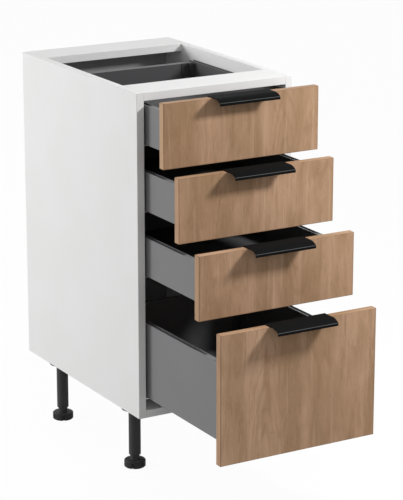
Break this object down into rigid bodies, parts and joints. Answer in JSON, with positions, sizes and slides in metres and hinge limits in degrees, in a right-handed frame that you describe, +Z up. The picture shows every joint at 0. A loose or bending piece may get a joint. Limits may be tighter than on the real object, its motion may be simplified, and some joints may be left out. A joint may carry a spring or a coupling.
{
  "type": "drawer base cabinet",
  "caption": "Kitchen base cabinet on adjustable legs: white board carcass, wood-decor drawer fronts with bent-sheet pulls, drawers on under-mounted runners.",
  "frame": {"origin": "on the floor, in the middle of the width, under the front edges of the side panels", "axes": "+X to the right seen from the front, +Y from the front to the back, +Z up"},
  "size_m": [0.4, 0.958, 0.9],
  "materials": {
    "white_board": "satin white melamine on chipboard",
    "back_board": "thin white-faced fibreboard",
    "decor_board": "matte light beech decor with upright grain",
    "dark_metal": "matte black powder coat",
    "grey_metal": "fine grey powder coat",
    "grey_board": "grey melamine on chipboard",
    "bracket_plastic": "dark grey moulded plastic",
    "zinc_steel": "zinc-plated steel",
    "black_plastic": "black moulded plastic",
    "dowel_wood": "plain beech"
  },
  "bodies": {
    "cabinet": {"side_panel_left": "white_board", "side_panel_right": "white_board", "bottom_panel": "white_board", "top_rail_front": "white_board", "top_rail_back": "white_board", "back_panel": "back_board", "carcass_dowels": "dowel_wood", "cabinet_rails": "zinc_steel", "runner_screws": "zinc_steel", "leg_sockets": "black_plastic", "leg_screws": "zinc_steel", "leg_tube_front_left": "black_plastic", "leg_tube_front_right": "black_plastic", "leg_tube_back_left": "black_plastic", "leg_tube_back_right": "black_plastic"},
    "drawer_1": {"front_1": "decor_board", "handle_1": "dark_metal", "side_left_1": "grey_metal", "side_right_1": "grey_metal", "drawer_bottom_1": "grey_board", "drawer_back_1": "grey_board", "corner_brackets_1": "bracket_plastic", "drawer_screws_1": "zinc_steel", "drawer_rails_1": "zinc_steel"},
    "runner_1": {"middle_rails_1": "zinc_steel"},
    "drawer_2": {"front_2": "decor_board", "handle_2": "dark_metal", "side_left_2": "grey_metal", "side_right_2": "grey_metal", "drawer_bottom_2": "grey_board", "drawer_back_2": "grey_board", "corner_brackets_2": "bracket_plastic", "drawer_screws_2": "zinc_steel", "drawer_rails_2": "zinc_steel"},
    "runner_2": {"middle_rails_2": "zinc_steel"},
    "drawer_3": {"front_3": "decor_board", "handle_3": "dark_metal", "side_left_3": "grey_metal", "side_right_3": "grey_metal", "drawer_bottom_3": "grey_board", "drawer_back_3": "grey_board", "corner_brackets_3": "bracket_plastic", "drawer_screws_3": "zinc_steel", "drawer_rails_3": "zinc_steel"},
    "runner_3": {"middle_rails_3": "zinc_steel"},
    "drawer_4": {"front_4": "decor_board", "handle_4": "dark_metal", "side_left_4": "grey_metal", "side_right_4": "grey_metal", "drawer_bottom_4": "grey_board", "drawer_back_4": "grey_board", "corner_brackets_4": "bracket_plastic", "drawer_screws_4": "zinc_steel", "drawer_rails_4": "zinc_steel"},
    "runner_4": {"middle_rails_4": "zinc_steel"},
    "foot_front_left": {"leg_foot_front_left": "black_plastic"},
    "foot_front_right": {"leg_foot_front_right": "black_plastic"},
    "foot_back_left": {"leg_foot_back_left": "black_plastic"},
    "foot_back_right": {"leg_foot_back_right": "black_plastic"}
  },
  "joints": [
    {"name": "drawer_slide_1", "type": "slide", "parent": "cabinet", "child": "drawer_1", "axis": [0, -1, 0], "range_m": [-0.092, 0.398]},
    {"name": "runner_slide_1", "type": "slide", "parent": "cabinet", "child": "runner_1", "axis": [0, -1, 0], "range_m": [-0.046, 0.199]},
    {"name": "drawer_slide_2", "type": "slide", "parent": "cabinet", "child": "drawer_2", "axis": [0, -1, 0], "range_m": [-0.157, 0.333]},
    {"name": "runner_slide_2", "type": "slide", "parent": "cabinet", "child": "runner_2", "axis": [0, -1, 0], "range_m": [-0.0785, 0.1665]},
    {"name": "drawer_slide_3", "type": "slide", "parent": "cabinet", "child": "drawer_3", "axis": [0, -1, 0], "range_m": [-0.242, 0.248]},
    {"name": "runner_slide_3", "type": "slide", "parent": "cabinet", "child": "runner_3", "axis": [0, -1, 0], "range_m": [-0.121, 0.124]},
    {"name": "drawer_slide_4", "type": "slide", "parent": "cabinet", "child": "drawer_4", "axis": [0, -1, 0], "range_m": [-0.333, 0.157]},
    {"name": "runner_slide_4", "type": "slide", "parent": "cabinet", "child": "runner_4", "axis": [0, -1, 0], "range_m": [-0.1665, 0.0785]},
    {"name": "foot_screw_front_left", "type": "slide", "parent": "cabinet", "child": "foot_front_left", "axis": [0, 0, -1], "range_m": [0, 0.02]},
    {"name": "foot_screw_front_right", "type": "slide", "parent": "cabinet", "child": "foot_front_right", "axis": [0, 0, -1], "range_m": [0, 0.02]},
    {"name": "foot_screw_back_left", "type": "slide", "parent": "cabinet", "child": "foot_back_left", "axis": [0, 0, -1], "range_m": [0, 0.02]},
    {"name": "foot_screw_back_right", "type": "slide", "parent": "cabinet", "child": "foot_back_right", "axis": [0, 0, -1], "range_m": [0, 0.02]}
  ],
  "couplings": [
    {"joint": "runner_slide_1", "follows": "drawer_slide_1", "ratio": 0.5},
    {"joint": "runner_slide_2", "follows": "drawer_slide_2", "ratio": 0.5},
    {"joint": "runner_slide_3", "follows": "drawer_slide_3", "ratio": 0.5},
    {"joint": "runner_slide_4", "follows": "drawer_slide_4", "ratio": 0.5}
  ]
}
